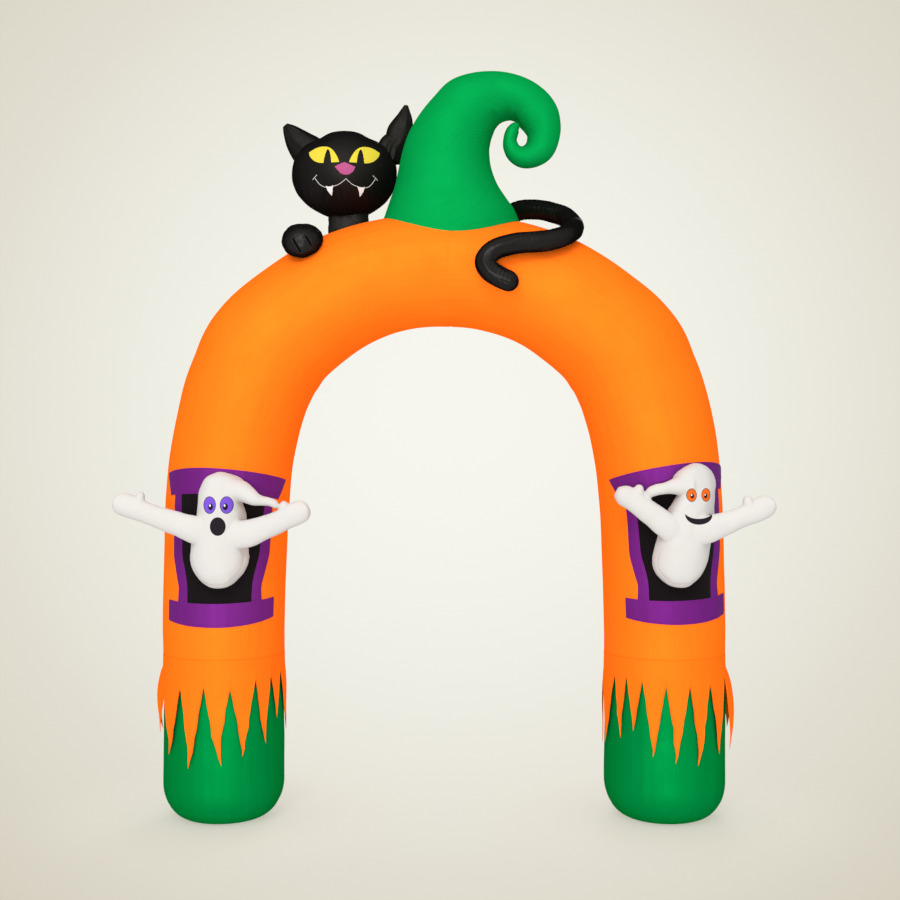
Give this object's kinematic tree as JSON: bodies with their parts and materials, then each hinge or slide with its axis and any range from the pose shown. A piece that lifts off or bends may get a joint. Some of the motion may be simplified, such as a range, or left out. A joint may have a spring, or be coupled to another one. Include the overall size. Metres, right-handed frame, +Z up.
{
  "type": "inflatable arch",
  "caption": "Inflatable Halloween arch over a walkway, with a curled hat and a cat on its crown and a ghost leaning from a window on each leg.",
  "frame": {"origin": "on the floor, midway between the two feet and on the tube's middle plane", "axes": "+Z up, front faces -Y, +X towards the foot on the right as seen from the front"},
  "size_m": [2.3085, 0.622, 2.7356],
  "materials": {
    "orange_cloth": "thin woven polyester, slight sheen",
    "green_cloth": "thin woven polyester, slight sheen",
    "purple_cloth": "thin woven polyester, slight sheen",
    "black_cloth": "thin woven polyester, slight sheen",
    "white_cloth": "thin woven polyester, matt",
    "yellow_cloth": "thin woven polyester, matt",
    "pink_cloth": "thin woven polyester, matt"
  },
  "bodies": {
    "root": {"arch_tube": "orange_cloth", "foot_left": "green_cloth", "foot_right": "green_cloth", "skirt_left": "orange_cloth", "skirt_right": "orange_cloth", "window_header_left": "purple_cloth", "window_header_right": "purple_cloth", "window_sill_left": "purple_cloth", "window_sill_right": "purple_cloth", "window_pane_left": "black_cloth", "window_pane_right": "black_cloth", "curtain_left_left": "purple_cloth", "curtain_right_left": "purple_cloth", "curtain_left_right": "purple_cloth", "curtain_right_right": "purple_cloth", "ghost_left": "white_cloth", "ghost_right": "white_cloth", "hat": "green_cloth", "cat_head": "black_cloth", "cat_ear_left": "black_cloth", "cat_ear_right": "black_cloth", "cat_neck": "black_cloth", "cat_paw": "black_cloth", "cat_tail": "black_cloth", "cat_eye_left": "yellow_cloth", "cat_eye_right": "yellow_cloth", "cat_nose": "pink_cloth", "cat_fang_left": "white_cloth", "cat_fang_right": "white_cloth"}
  },
  "joints": []
}
